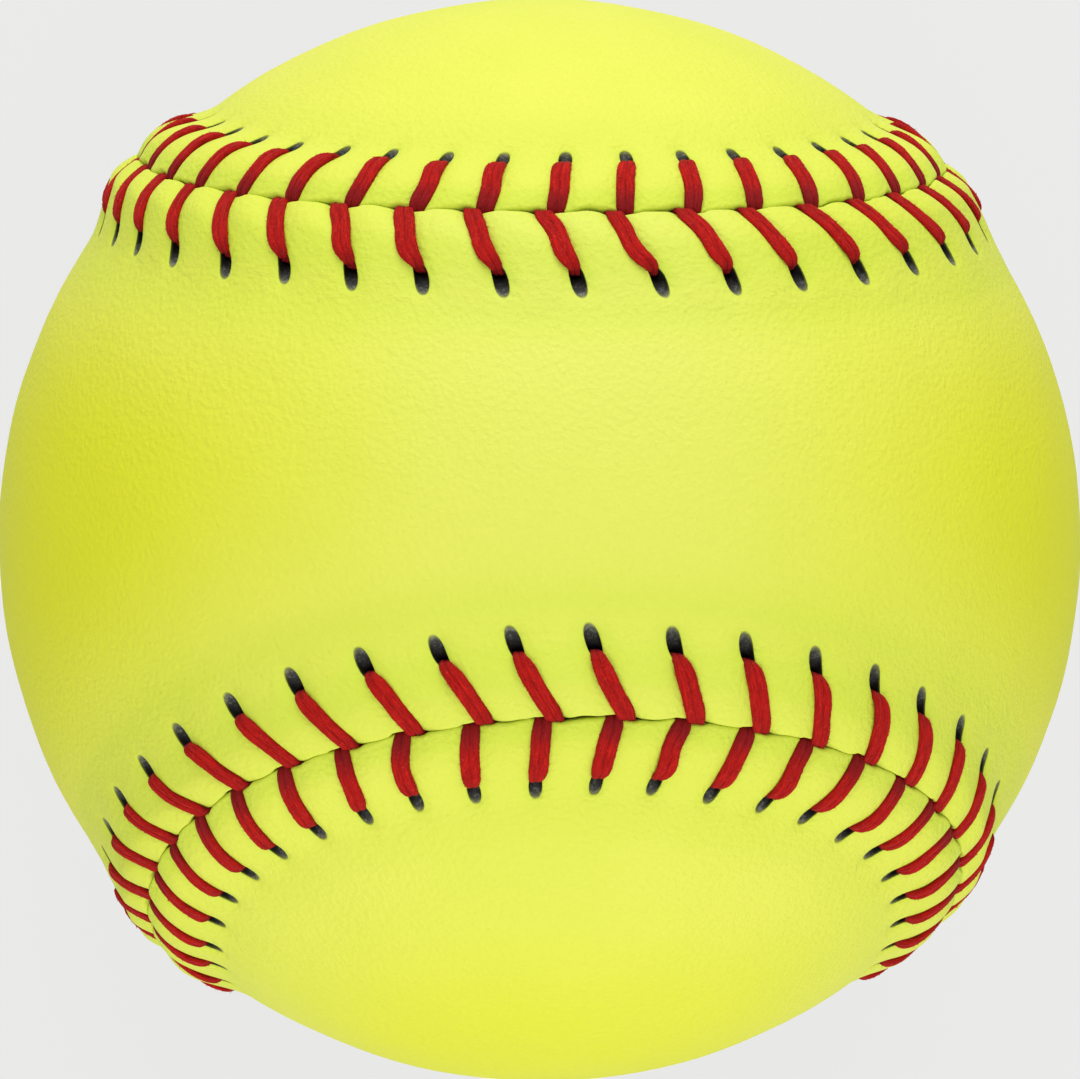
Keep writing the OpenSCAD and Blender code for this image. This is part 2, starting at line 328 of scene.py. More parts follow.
class Stretch:
    """Corners and faces of one stitch's stretch of a panel, which repeats along the seam.
    Each corner has a kind, a column, a distance or lip angle, a share of the leather's depth,
    how much dark it has, painted shade in the slit and needle holes and the leather's own inside,
    and how much grey light is painted on a needle hole's sloped end."""

    def __init__(self):
        self.corners = []
        self.faces = []

    def corner(self, kind, s, q, share, inside_and_shade_share=0.0, grey=0.0):
        self.corners.append((kind, s, q, share, inside_and_shade_share, grey))
        return len(self.corners) - 1

    def row(self, count, kind, q, share, inside_block=False, inside_and_shade_share=0.0):
        """A row of corners along the seam, ended by the next stitch's first corner."""
        first = len(self.corners)
        row = []
        for k in range(count):
            left_out = inside_block and BLOCK_LO < k < BLOCK_HI
            row.append(None if left_out else self.corner(kind, k / count - 0.5, q, share, inside_and_shade_share))
        return row + [first + NEXT]

    def block_rows(self, block, share, inside_and_shade_share=0.0):
        """Rows at the block's distances, with its inside left out."""
        return [
            self.row(COLUMNS, SURFACE, q, share, 0 < k < BLOCK_ROWS, inside_and_shade_share)
            for k, q in enumerate(block)
        ]

    def quads(self, a, b, turned, open_block=False):
        """Faces between two rows, from a towards b."""
        for k in range(len(a) - 1):
            if open_block and BLOCK_LO <= k < BLOCK_HI:
                continue
            quad = [a[k], a[k + 1], b[k + 1], b[k]]
            self.faces.append(quad[::-1] if turned else quad)

    def sheet(self, before, block, after, turned=False):
        """Faces over the rows before, beside and after the block round a needle hole."""
        for a, b in zip(before, before[1:] + block[:1]):
            self.quads(a, b, turned)
        for a, b in zip(block, block[1:]):
            self.quads(a, b, turned, open_block=True)
        for a, b in zip(block[-1:] + after, after):
            self.quads(a, b, turned)

    def halve(self, a, b, turned=False):
        """Faces from a row to one with half as many corners."""
        for k in range(len(b) - 1):
            for face in (
                [a[2 * k], a[2 * k + 1], b[k]],
                [a[2 * k + 1], b[k + 1], b[k]],
                [a[2 * k + 1], a[2 * k + 2], b[k + 1]],
            ):
                self.faces.append(face[::-1] if turned else face)

    def block(self, rows, side, rings, share, turned=False):
        """Rings of faces from the edge of the block round a needle hole to the last ring.
        Returns the corners of the block's edge and of that ring."""
        rim = rows[0][BLOCK_LO : BLOCK_HI + 1]
        rim += [row[BLOCK_HI] for row in rows[1:]]
        rim += [rows[-1][k] for k in range(BLOCK_HI - 1, BLOCK_LO - 1, -1)]
        rim += [row[BLOCK_LO] for row in rows[-2:0:-1]]
        ring = rim
        for t in rings:
            inner = []
            for index in rim:
                s, q = self.corners[index][1:3]
                a = hole_angle(side, s, q)
                hs, hq = hole_point(side, a, RIM_SCALE, 0)
                inner.append(self.corner(SURFACE, hs + (s - hs) * t, hq + (q - hq) * t, share))
            self.ring_faces(ring, inner, turned)
            ring = inner
        return rim, ring

    def ring_faces(self, a, b, turned=False):
        """Faces between two rings with as many corners."""
        n = len(a)
        for k in range(n):
            quad = [a[k], a[(k + 1) % n], b[(k + 1) % n], b[k]]
            self.faces.append(quad[::-1] if turned else quad)


def hole_angle(side, s, q):
    """Angle round the needle hole at which a corner of the block's edge lies."""
    half = BLOCK_HI / COLUMNS - 0.5
    return math.atan2((q - side.hole_d) / side.block_half, s / half)


def hole_point(side, a, scale, share):
    """A point of a needle hole's outline, whose outer end narrows and slopes."""
    x, y = math.cos(a), math.sin(a)
    x = math.copysign(abs(x) ** ROUNDING, x) * side.hole_w / 2
    y = math.copysign(abs(y) ** ROUNDING, y)
    slope = SLOPE * side.hole_half * share**SLOPE_POWER
    y = scale * side.hole_half * y - slope * (y + 1) / 2
    return scale * x / PITCH, side.hole_d + y


def spaced(a, b, step):
    """Numbers from a to b, about a step apart."""
    return list(np.linspace(a, b, max(2, round((b - a) / step) + 1)))


def make_stretch(side):
    """One stitch's stretch: up the slit's wall, over the lip, across the raised seam and the
    needle hole to the field, and the same way back inside. Returned with its last row on the
    outside and its last row on the inside."""
    st = Stretch()
    block = np.linspace(-side.block_half, side.block_half, BLOCK_ROWS + 1) + side.hole_d
    foot = [st.row(COLUMNS, WALL, 0, share, inside_and_shade_share=w) for share, w in WALL_ROWS]
    lip = [st.row(COLUMNS, LIP, math.radians(angle), 0) for angle in LIP_ROWS]
    before = [st.row(COLUMNS, SURFACE, q, 0) for q in spaced(FIRST_D, block[0], CREST_STEP)[:-1]]
    beside = st.block_rows(block, 0)
    after = [st.row(COLUMNS, SURFACE, q, 0) for q in spaced(block[-1], LAST_D, FOOT_STEP)[1:]]
    st.sheet(foot + lip + before, beside, after)
    rim, ring = st.block(beside, side, SURFACE_RINGS, 0)
    for depth, (scale, share) in enumerate(HOLE_RINGS):
        wall = []
        for index in rim:
            s, q = st.corners[index][1:3]
            a = hole_angle(side, s, q)
            hs, hq = hole_point(side, a, scale, share)
            grey = smooth(*GREY_RISE, math.sin(a)) * (1 - share) ** GREY_POWER
            wall.append(st.corner(SURFACE, hs, hq, share, 1 if depth else RIM_SHADE_SHARE, grey))
        st.ring_faces(ring, wall)
        ring = wall
    field = [st.row(COLUMNS // n, SURFACE, q, 0) for n, q in zip((2, 4), FIELD_D)]
    st.halve(after[-1], field[0])
    st.halve(field[0], field[1])

    # The leather's inside, from the wall's foot to the field
    inside = {"share": 1, "inside_and_shade_share": 1}
    low = spaced(FIRST_D, block[0], INSIDE_STEP)[:-1]
    low = [st.row(COLUMNS, SURFACE, q, **inside) for q in low]
    hollow = st.block_rows(block, **inside)
    out = spaced(block[-1], LAST_D, INSIDE_STEP)[1:]
    out = [st.row(COLUMNS, SURFACE, q, **inside) for q in out]
    st.sheet([foot[0]] + low, hollow, out, turned=True)
    under_ring = st.block(hollow, side, UNDER_RINGS, 1, turned=True)[1]
    st.ring_faces(under_ring, ring, turned=True)
    under = [st.row(COLUMNS // n, SURFACE, q, **inside) for n, q in zip((2, 4), FIELD_D)]
    st.halve(out[-1], under[0], turned=True)
    st.halve(under[0], under[1], turned=True)
    return st, field[1], under[1]


def sphere_points(spacing):
    """Points spread evenly over a unit ball, for a spacing on the real one."""
    count = round(4 * math.pi * BALL_R**2 / (spacing**2 * math.sqrt(3) / 2))
    k = np.arange(count) + 0.5
    z = 1 - 2 * k / count
    a = math.pi * (3 - math.sqrt(5)) * k
    ring = np.sqrt(1 - z * z)
    return np.stack([ring * np.cos(a), ring * np.sin(a), z], -1)


def ring_columns():
    """The last row's columns, for every stitch: its number, column and distance."""
    i = np.repeat(np.arange(STITCHES), COLUMNS // 4)
    s = np.arange(COLUMNS // 4) / (COLUMNS // 4) - 0.5
    return i, np.tile(s, STITCHES), np.full(len(i), FIELD_D[1])


def field_mesh(side, ring):
    """Points inside a ring of directions, and triangles over the ring and those points."""
    inward = seam_at(side.place(*ring_columns()))[2] * side.sign
    points = sphere_points(FIELD_SPACING)
    near = np.argmax(points @ ring.T, axis=1)
    away = points - ring[near]
    clear = np.linalg.norm(away, axis=1) * BALL_R > FIELD_MARGIN * FIELD_SPACING
    points = points[((away * inward[near]).sum(1) > 0) & clear]
    corners = np.concatenate([ring, points])
    # The triangles are found on the flat map of the ball as seen from the other panel's waist
    flat = corners[:, :2] / (1 + side.sign * corners[:, 2:])
    loop = list(range(len(ring)))
    result = delaunay_2d_cdt([Vector(p) for p in flat], [], [loop], 1, 1e-7)
    first = [origin[0] for origin in result[3]]
    triangles = np.array([[first[k] for k in face] for face in result[2]])
    a, b, c = (flat[triangles[:, k]] for k in range(3))
    area = (b - a)[:, 0] * (c - a)[:, 1] - (b - a)[:, 1] * (c - a)[:, 0]
    triangles[area < 0] = triangles[area < 0][:, ::-1]
    return points, triangles


# Broad low swells of the leather, each a direction, a frequency and a start
SWELLS = np.array([
    [0.9, 0.3, -0.2, 0.25, 1.0], [-0.3, 1.0, 0.4, 0.31, 2.2], [0.2, -0.5, 0.9, 0.37, 0.4],
    [0.7, -0.7, 0.3, 0.53, 3.1], [-0.6, 0.2, 0.8, 0.61, 5.0], [0.5, 0.8, 0.5, 0.79, 4.1],
])
SWELL_H = 0.022

# The top panel's leather has painted shade, a deeper yellow, towards the middle of its two lobes
# and a painted sheen, a paler yellow, in its waist, and the bottom panel's has painted shade
# towards the middle of one lobe. They change with a share of the ball's radius, and the shade
# also with the distance from the seam. The sheen is strongest high up, and less so, by a share,
# low down.
LOBE_SHADE_SPAN = (0.25, 0.9)
LOBE_REACH = (4, 24)
LOW_SHADE_SPAN, LOW_SHADE = (0.7, 1.0), 0.75
WAIST_SHEEN_SPAN, WAIST_RISE, WAIST_LOW = (0.1, 0.5), (-0.35, 0.3), 0.35
# Half width of the painted shade beside each thread, and the distance past the hole where it ends
SHADE_BESIDE_THREAD_HALF, SHADE_BESIDE_THREAD_PAST = 0.2, (0, 2)
# The painted shade on the raised seam ends over these distances. The top panel's is deepest on
# the flank and at the foot, and the bottom panel's at the slit.
FLANK_FALL = (8.5, 12.5)
TOP_FLANK, TOP_FLANK_RISE, TOP_FLANK_FALL = 1.1, (2.2, 3.4), (5, 6.5)
TOP_FOOT, TOP_FOOT_RISE = 0.5, (7.5, 9.5)
TOP_SEAM_SHADE, BOTTOM_SEAM_SHADE = 1.2, 0.9
SLIT_SHADE, SLIT_FALL = 2, (0.8, 2.4)
# How grey the leather's inside is
HIDDEN_GREY = 0.6
# Where the leather of the raised seam is creased
CREASE_RISE, CREASE_FALL = (2, 4), (7.5, 9.5)


def swell(directions):
    waves_in = unit(SWELLS[:, :3]) * SWELLS[:, 3:4] * BALL_R
    return SWELL_H * np.sin(directions @ waves_in.T + SWELLS[:, 4]).sum(-1)


def painted_flank_shade(side, q):
    """How much painted shade the raised seam has at a distance."""
    if side is TOP:
        tone = TOP_SEAM_SHADE + TOP_FLANK * smooth(*TOP_FLANK_RISE, q) * (1 - smooth(*TOP_FLANK_FALL, q))
        tone = tone + TOP_FOOT * smooth(*TOP_FOOT_RISE, q)
    else:
        tone = BOTTOM_SEAM_SHADE + SLIT_SHADE * (1 - smooth(*SLIT_FALL, q))
    return tone * (1 - smooth(*FLANK_FALL, q))


def field_shade_and_sheen(side, directions):
    """Painted shade towards the lobes and painted sheen in the waist, for directions from the
    centre.
    """
    across, rise = directions[:, :2].T
    if side is BOTTOM:
        return LOW_SHADE * smooth(*LOW_SHADE_SPAN, -rise), 0 * rise
    high = WAIST_LOW + (1 - WAIST_LOW) * smooth(*WAIST_RISE, rise)
    return smooth(*LOBE_SHADE_SPAN, abs(across)), (1 - smooth(*WAIST_SHEEN_SPAN, abs(across))) * high


def panel(name, side):
    """One cover panel: its stretches joined all round the seam, and its smooth field."""
    st, ring_row, inner_row = make_stretch(side)
    kinds, s, q, share, inside_and_shade_share, grey = (np.array(c)[None, :] for c in zip(*st.corners))
    count = s.shape[1]
    starts = count * np.arange(STITCHES)[:, None]
    i = np.arange(STITCHES)[:, None] + np.zeros((1, count), int)
    s = np.broadcast_to(s, i.shape)
    edge = side.edge(i, s)
    at_lip = kinds == LIP
    at_wall = kinds == WALL
    q_all = np.where(at_lip, edge + LIP_R * (1 - np.cos(q)), np.where(at_wall, edge, q))
    places = side.place(i, s, q_all)
    d = side.distance(i, s, q_all)
    outer = side.outer(i, s, np.where(at_lip | at_wall, edge + LIP_R, q_all))
    at_edge = np.where(at_wall, outer - LIP_R, outer)
    outer = np.where(at_lip, outer - LIP_R * (1 - np.sin(q)), at_edge)
    directions = beside_seam(places, side.sign * d)
    outer = outer + swell(directions)
    r = outer + (side.under(i, s, q_all) - outer) * share
    points = (directions * r[..., None]).reshape(-1, 3)

    faces = []
    for face in st.faces:
        local = np.array([k if k < NEXT else k - NEXT + count for k in face])
        faces.append((local[None, :] + starts) % (count * STITCHES))
    ring = (np.array([ring_row[:-1]]) + starts).ravel()
    inner_ring = (np.array([inner_row[:-1]]) + starts).ravel()
    ring_directions = unit(points[ring])
    extra, triangles = field_mesh(side, ring_directions)
    if side.sign < 0:
        triangles = triangles[:, ::-1]
    start = len(points)
    outside = np.concatenate([ring, start + np.arange(len(extra))])
    inside = np.concatenate([inner_ring, start + len(extra) + np.arange(len(extra))])
    field_r = BALL_R + swell(extra)
    points = np.concatenate([points, extra * field_r[:, None], extra * (BALL_R - LEATHER_T)])
    faces = [f if side.sign > 0 else f[:, ::-1] for f in faces]
    faces += [outside[triangles], inside[triangles[:, ::-1]]]

    def whole(values, outside_value=0, inside_value=0):
        """Values of the stretches' corners, with one for the field's outside and inside."""
        values = np.broadcast_to(values, i.shape).ravel()
        rest = [np.full(len(extra), outside_value), np.full(len(extra), inside_value)]
        return np.concatenate([values] + rest)

    # The raised seam laid out as a straight strip, for folds that run along it
    a = TURN * places / STITCHES
    loop_r = PITCH * STITCHES / TURN
    strip = np.stack([loop_r * np.cos(a), loop_r * np.sin(a), side.sign * d], -1).reshape(-1, 3)
    # Where the painted shade lies beside each thread, and where the raised seam is creased
    groove = np.exp(-((s / SHADE_BESIDE_THREAD_HALF) ** 2)) * (1 - side.past_hole(SHADE_BESIDE_THREAD_PAST, q_all))
    crease = smooth(*CREASE_RISE, q_all) * (1 - smooth(*CREASE_FALL, q_all)) * (share == 0)
    # Painted shade towards the middle of the lobes, growing away from the seam, and painted sheen
    # in the top panel's waist
    far = FIELD_D[1] + BALL_R * np.arccos((extra @ ring_directions.T).max(1))
    reach = smooth(*LOBE_REACH, np.concatenate([q_all.ravel(), far, far]))
    lobe_shade, painted_sheen = field_shade_and_sheen(side, np.concatenate([directions.reshape(-1, 3), extra, extra]))
    attributes = {
        "lobe_shade": lobe_shade * reach,
        "painted_sheen": painted_sheen,
        "inside_and_shade": whole(inside_and_shade_share, 0, 1),
        "grey": whole(grey, 0, HIDDEN_GREY),
        "groove": whole(groove),
        "flank": whole(painted_flank_shade(side, q_all)),
        "crease": whole(crease),
        "strip": np.concatenate([strip, np.zeros((2 * len(extra), 3))]),
    }
    return make_object(name, points, faces, attributes)


def make_object(name, points, face_groups, attributes):
    """A mesh object from points in millimetres and arrays of faces, one for each face size."""
    corners = np.concatenate([f.ravel() for f in face_groups]).astype(np.int32)
    sizes = np.concatenate([np.full(len(f), f.shape[1]) for f in face_groups])
    starts = np.concatenate([[0], np.cumsum(sizes)[:-1]]).astype(np.int32)
    mesh = bpy.data.meshes.new(name)
    mesh.vertices.add(len(points))
    mesh.vertices.foreach_set("co", (points * MM).astype(np.float32).ravel())
    mesh.loops.add(len(corners))
    mesh.loops.foreach_set("vertex_index", corners)
    mesh.polygons.add(len(starts))
    mesh.polygons.foreach_set("loop_start", starts)
    mesh.update(calc_edges=True)
    mesh.validate()
    mesh.shade_smooth()
    for key, values in attributes.items():
        kind, field = ("FLOAT", "value") if values.ndim == 1 else ("FLOAT_VECTOR", "vector")
        data = mesh.attributes.new(key, kind, "POINT").data
        data.foreach_set(field, values.astype(np.float32).ravel())
    obj = bpy.data.objects.new(name, mesh)
    bpy.context.scene.collection.objects.link(obj)
    return obj


# ---- The threads ----

# Widths of a thread in its needle hole, under the hole, on the leather, at the slit, in the
# slit's mouth and under the leather
DRAWN_W, UNDER_W, LEG_W, MOUTH_W, SLIT_W, HIDDEN_W = 1.06, 0.85, 1.55, 1.5, 1.42, 1.1
# Its thickness on the leather, and its height over the leather
THREAD_T, REST_H = 0.53, 0.03
# How far a leg reaches over its needle hole, and how much further in the seam's turns
COVERED, COVER = 0.4, 0.28
# A leg's first and last distances on the leather, counted from the hole's edge and the slit
FIRST_STEP, LAST_STEP = 0.3, 0.45
# Shares of a leg over which it widens, narrows, darkens with painted shade towards the slit and
# bulges to one side
WIDEN, NARROW, DARKEN, BULGE_FALL = (-0.08, 0.16), (0.8, 1), (0.5, 1), (0.25, 0.75)
BULGE = 0.3
# How dark a leg is painted at its needle hole, at the slit and in the slit's mouth: painted shade
# where it goes into the leather
HOLE_DARK = 0.25
SLIT_DARK, MOUTH_DARK = {1: 0.1, -1: 0.85}, {1: 0.3, -1: 0.8}
# The top panel's legs lie over the bottom panel's in the slit: their distance and height there
MOUTH_D, MOUTH_H = {1: -0.05, -1: 0.16}, {1: 0.24, -1: 0.0}
LEG_STEPS = 12
# Stops of a leg in its needle hole, just above it and nearer to the slit, and down in the slit:
# height over the leather there, width, thickness and painted shade
HOLE_STOPS = [(-0.75, UNDER_W, HIDDEN_T, 1), (-0.3, 0.9, 0.55, 0.8)]
ABOVE_D, ABOVE_STOP = 0.08, (0.16, DRAWN_W, 0.6, 0.4)
SLIT_STOPS = [(-0.35, HIDDEN_W, HIDDEN_T, 1), (-0.8, HIDDEN_W, HIDDEN_T, 1)]
# Distances at which the height of the slit's edge and the place of its mouth are taken
EDGE_D, MOUTH_AT = 0.5, 0.3
# How often the path is smoothed
ROUNDS = 3
# A strand's distance from the thread's middle and half its width, as shares of the thread's
# width, and the power that flattens it
STRAND_OFFSET, STRAND_HALF, FLATNESS = 0.225, 0.285, 0.78
STRAND_SIDES = 12
# The plies' ridges: height, count and length of a turn
PLY_H, PLIES, PLY_TURN = 0.03, 3, 3.1
EDGE_ROUGHNESS = 0.025
# Stray fibres: count, radius, length, how far their feet sink in, how far they lean along the
# thread, how unevenly, and their share of the thread's painted shade. They grow where it has less
# painted shade and faces outwards more than this. Each has four faces.
FUZZ_A_LEG, FUZZ_R, FUZZ_LEN, FUZZ_SINK = 44, 0.034, (0.1, 0.3), 0.03
FUZZ_LEAN, FUZZ_SPREAD, FUZZ_DARK = (0.8, 2.2), 0.25, 0.5
SEEN_DARK, SEEN_OUTWARD = 0.6, -0.3
FUZZ_FACES = ([2, 1, 0], [0, 1, 3], [1, 2, 3], [2, 0, 3])


def leg_stops(side, i):
    """Stops of one leg, from under its needle hole to the slit's foot: place, distance from
    the seam, radius, width, thickness, and how much painted shade the thread has there."""
    hole = side.hole_d - side.hole_half + COVERED + COVER * turns(i)
    shift = side.hole_shift[i % STITCHES]
    zero = np.zeros(len(i))
    hole_r = side.outer(i, zero, hole)
    hole_place = side.leg(i, hole)
    own = side.width[i % STITCHES]
    width = LEG_W * own
    slit_place = i + PHASE_SHARE + side.sign * CROSS_SHARE
    middle = slit_middle(slit_place) * side.sign
    stops = [(hole_place, hole + shift, zero + HIDDEN_R, UNDER_W, HIDDEN_T, 1)]
    stops += [(hole_place, hole + shift, hole_r + h, *rest) for h, *rest in HOLE_STOPS]
    above, (h, *rest) = hole - ABOVE_D, ABOVE_STOP
    stops.append((side.leg(i, above), above + shift, hole_r + h, *rest))
    for k in range(LEG_STEPS + 1):
        share = k / LEG_STEPS
        q = hole - FIRST_STEP + (LAST_STEP - hole + FIRST_STEP) * k / LEG_STEPS
        start = smooth(*WIDEN, share)
        w = DRAWN_W + (width - DRAWN_W) * start + (MOUTH_W * own - width) * smooth(*NARROW, share)
        r = side.outer(i, zero, q) + REST_H + THREAD_T / 2
        dark = HOLE_DARK * (1 - start) + SLIT_DARK[side.sign] * smooth(*DARKEN, share)
        bulge = BULGE * start * (1 - smooth(*BULGE_FALL, share)) * side.bulge[i % STITCHES]
        place = side.leg(i, q) + bulge / PITCH
        stops.append((place, side.distance(i, zero, q), r, w, THREAD_T, dark))
    edge_r = side.outer(i, zero, zero + EDGE_D)
    mouth_place, mouth_d = side.leg(i, zero + MOUTH_AT), middle + MOUTH_D[side.sign]
    mouth_r = edge_r + MOUTH_H[side.sign]
    stops.append((mouth_place, mouth_d, mouth_r, SLIT_W, HIDDEN_T, MOUTH_DARK[side.sign]))
    stops += [(slit_place, middle, edge_r + h, *rest) for h, *rest in SLIT_STOPS]
    stops.append((slit_place, zero, zero + HIDDEN_R, HIDDEN_W, HIDDEN_T, 1))
    table = []
    for place, d, r, w, t, dark in stops:
        d = np.broadcast_to(d, i.shape)
        row = [beside_seam(place, side.sign * d) * r[:, None], seam_at(place)[1]]
        row += [np.broadcast_to(v, i.shape)[:, None] for v in (w, t, dark)]
        table.append(np.concatenate(row, 1))
    return np.stack(table, 1)


def thread_path(first):
    """Rows of point, across direction, width, thickness and painted shade all along a thread."""
    i = np.arange(STITCHES)
    near, far = leg_stops(first, i), leg_stops(BOTTOM if first is TOP else TOP, i)
    legs = np.where((i % 2 == 0)[:, None, None], near, far)
    stops = legs.shape[1]
    rows = legs.reshape(-1, legs.shape[2])
    pieces = []
    for k in range(len(rows) - 1):
        at = k % stops
        # Two steps over the shown part of a leg, and five along the hidden run to the next
        steps = 5 if at == stops - 1 else 2 if 2 <= at < stops - 2 else 1
        t = np.arange(steps)[:, None] / steps
        pieces.append(rows[k] * (1 - t) + rows[k + 1] * t)
    rows = np.concatenate(pieces + [rows[-1:]])
    for _ in range(ROUNDS):
        rows[1:-1] = (rows[:-2] + 2 * rows[1:-1] + rows[2:]) / 4
    return rows


def flattened(x):
    """A cosine or sine squared up, so that a strand's section is nearly a rounded oblong."""
    return np.sign(x) * abs(x) ** FLATNESS


def tube(rows, offset_share, width_share, arc_id):
    """One strand beside a path: its mesh, and what the stray fibres and the material need."""
    p, across, w, t, dark = np.split(rows, [3, 6, 7, 8], axis=1)
    along = unit(np.gradient(p, axis=0))
    across = unit(across - (across * along).sum(1, keepdims=True) * along)
    up = np.cross(along, across)
    up *= np.sign((up * p).sum(1, keepdims=True) + 1e-9)
    length = np.concatenate([[0], np.cumsum(np.linalg.norm(np.diff(p, axis=0), axis=1))])
    middle = p + across * w * offset_share
    rough = np.random.default_rng(arc_id).normal(0, EDGE_ROUGHNESS, (len(rows), STRAND_SIDES))
    a = TURN * np.arange(STRAND_SIDES) / STRAND_SIDES
    twist = PLIES * a[None, :] - TURN * length[:, None] / PLY_TURN + arc_id
    ply = 1 + PLY_H * np.cos(twist) + rough
    x = flattened(np.cos(a))[None, :] * w * width_share * ply
    y = flattened(np.sin(a))[None, :] * t / 2 * ply
    points = middle[:, None, :] + across[:, None, :] * x[..., None] + up[:, None, :] * y[..., None]
    n, m = STRAND_SIDES, len(rows)
    k = np.arange(m - 1)[:, None] * n
    j = np.arange(n)[None, :]
    j2 = (j + 1) % n
    quads = np.stack([k + j, k + j2, k + n + j2, k + n + j], -1).reshape(-1, 4)
    caps = np.stack([np.arange(n)[::-1], (m - 1) * n + np.arange(n)])
    fibre = np.stack([
        np.broadcast_to(length[:, None], x.shape),
        np.broadcast_to(a[None, :], x.shape),
        np.full(x.shape, float(arc_id)),
    ], -1)
    outward = across[:, None, :] * np.cos(a)[None, :, None]
    outward = outward + up[:, None, :] * np.sin(a)[None, :, None]
    return {
        "points": points.reshape(-1, 3),
        "quads": quads,
        "caps": caps,
        "fibre": fibre.reshape(-1, 3),
        "dark": np.repeat(dark[:, 0], n),
        "outward": outward.reshape(-1, 3),
        "along": np.repeat(along, n, axis=0),
    }


def fuzz(strand, rng):
    """Stray fibres: thin pointed ones that stand off a strand where it can be seen. Returned
    as points, faces, and the points' place in the strand and painted shade."""
    height = (strand["outward"] * unit(strand["points"])).sum(1)
    seen = np.nonzero((strand["dark"] < SEEN_DARK) & (height > SEEN_OUTWARD))[0]
    roots = rng.choice(seen, FUZZ_A_LEG * STITCHES // 2, replace=False)
    outward, along = strand["outward"][roots], strand["along"][roots]
    count = len(roots)
    lean = rng.choice([-1, 1], count)[:, None] * rng.uniform(*FUZZ_LEAN, (count, 1))
    direction = unit(outward + along * lean + rng.normal(0, FUZZ_SPREAD, (count, 3)))
    length = rng.uniform(*FUZZ_LEN, (count, 1))
    x = unit(np.cross(direction, along + 0.3 * outward))
    y = np.cross(direction, x)
    foot = strand["points"][roots] - FUZZ_SINK * outward
    thirds = (0, TURN / 3, 2 * TURN / 3)
    corners = [foot + FUZZ_R * (x * math.cos(t) + y * math.sin(t)) for t in thirds]
    corners.append(foot + direction * length)
    k = 4 * np.arange(count)[:, None]
    faces = np.concatenate([k + np.array(f) for f in FUZZ_FACES])
    points = np.stack(corners, 1).reshape(-1, 3)
    fibre = np.repeat(strand["fibre"][roots], 4, axis=0)
    return points, faces, fibre, np.repeat(strand["dark"][roots] * FUZZ_DARK, 4)


def thread(name, first, seed):
    """Two strands side by side, with their stray fibres, as one mesh object."""
    rows = thread_path(first)
    rng = np.random.default_rng(seed)
    parts = {"points": [], "quads": [], "caps": [], "fibre": [], "dark": []}
    triangles = []
    start = 0
    for k in (-1, 1):
        strand = tube(rows, k * STRAND_OFFSET, STRAND_HALF, seed + k)
        for key in parts:
            parts[key].append(strand[key] + (start if key in ("quads", "caps") else 0))
        start += len(strand["points"])
        points, faces, fibre, dark = fuzz(strand, rng)
        for key, values in (("points", points), ("fibre", fibre), ("dark", dark)):
            parts[key].append(values)
        triangles.append(faces + start)
        start += len(points)
    joined = {key: np.concatenate(values) for key, values in parts.items()}
    faces = [joined["quads"], joined["caps"], np.concatenate(triangles)]
    attributes = {key: joined[key] for key in ("fibre", "dark")}
    return make_object(name, joined["points"], faces, attributes)


# ---- Materials ----

# Colours of the leather: two that it drifts between, its painted shade towards the lobes and its
# painted sheen in the waist, its painted shade beside the threads and on the raised seam, that of
# the grain's hollows, and the dark and grey of the inside, which in the slit and needle holes are
# painted shade and the light painted on a hole's sloped end
LEATHER = (0.682, 0.724, 0.08, 1), (0.71, 0.738, 0.094, 1)
LOBE_SHADE_LEATHER, SHEEN_LEATHER = (0.69, 0.715, 0.017, 1), (0.7, 0.733, 0.125, 1)
SHADED_LEATHER, GRAIN_HOLLOW_LEATHER = (0.5, 0.68, 0.04, 1), (0.5, 0.6, 0.012, 1)
SHADE_AND_INSIDE_DARK, SLOPE_LIGHT_AND_INSIDE_GREY = (0.012, 0.011, 0.01, 1), (0.16, 0.16, 0.14, 1)
# Shares of the painted shade beside a thread and on the raised seam, and of the colour in the
# hollows
GROOVE_SHADE, FLANK_SHADE, GRAIN_HOLLOW_SHARE = 0.35, 0.16, 0.06
# Heights of the grain and the folds, in metres
GRAIN_H, FOLD_H = 0.00013, 0.00012
# Colours of the thread: two that its fibres drift between, the light ones, the shaded one, and
# that of its sheen
RED = (0.29, 0.004, 0.003, 1), (0.54, 0.009, 0.005, 1)
LIGHT_RED, DARK_RED = (0.85, 0.09, 0.08, 1), (0.12, 0.006, 0.01, 1)
SHEEN_RED = (1.0, 0.3, 0.25, 1)
FIBRE_H, FUZZ_H = 0.00016, 0.00004
# Colours of the inner pieces, each two that it drifts between, and of the core's rubber grains
CORK, RUBBER = ((0.3, 0.15, 0.06, 1), (0.52, 0.32, 0.15, 1)), (0.03, 0.025, 0.02, 1)
YARN = (0.5, 0.45, 0.36, 1), (0.8, 0.75, 0.64, 1)
CEMENT = (0.48, 0.34, 0.14, 1), (0.68, 0.54, 0.3, 1)


def add(tree, kind, inputs=None, **settings):
    """A node with its settings, and with each input a value or another node's output."""
    made = tree.nodes.new(kind)
    for key, value in settings.items():
        setattr(made, key, value)
    for key, value in (inputs or {}).items():
        if isinstance(value, bpy.types.NodeSocket):
            tree.links.new(value, made.inputs[key])
        else:
            made.inputs[key].default_value = value
    return made


def material(name):
    made = bpy.data.materials.new(name)
    made.use_nodes = True
    made.node_tree.nodes.clear()
    return made, made.node_tree


def finish_material(tree, shader):
    add(tree, "ShaderNodeOutputMaterial", {"Surface": shader})


def principled(tree, inputs):
    """Ends a material with the common shader."""
    finish_material(tree, add(tree, "ShaderNodeBsdfPrincipled", inputs).outputs[0])


def object_place(tree):
    return add(tree, "ShaderNodeTexCoord").outputs["Object"]


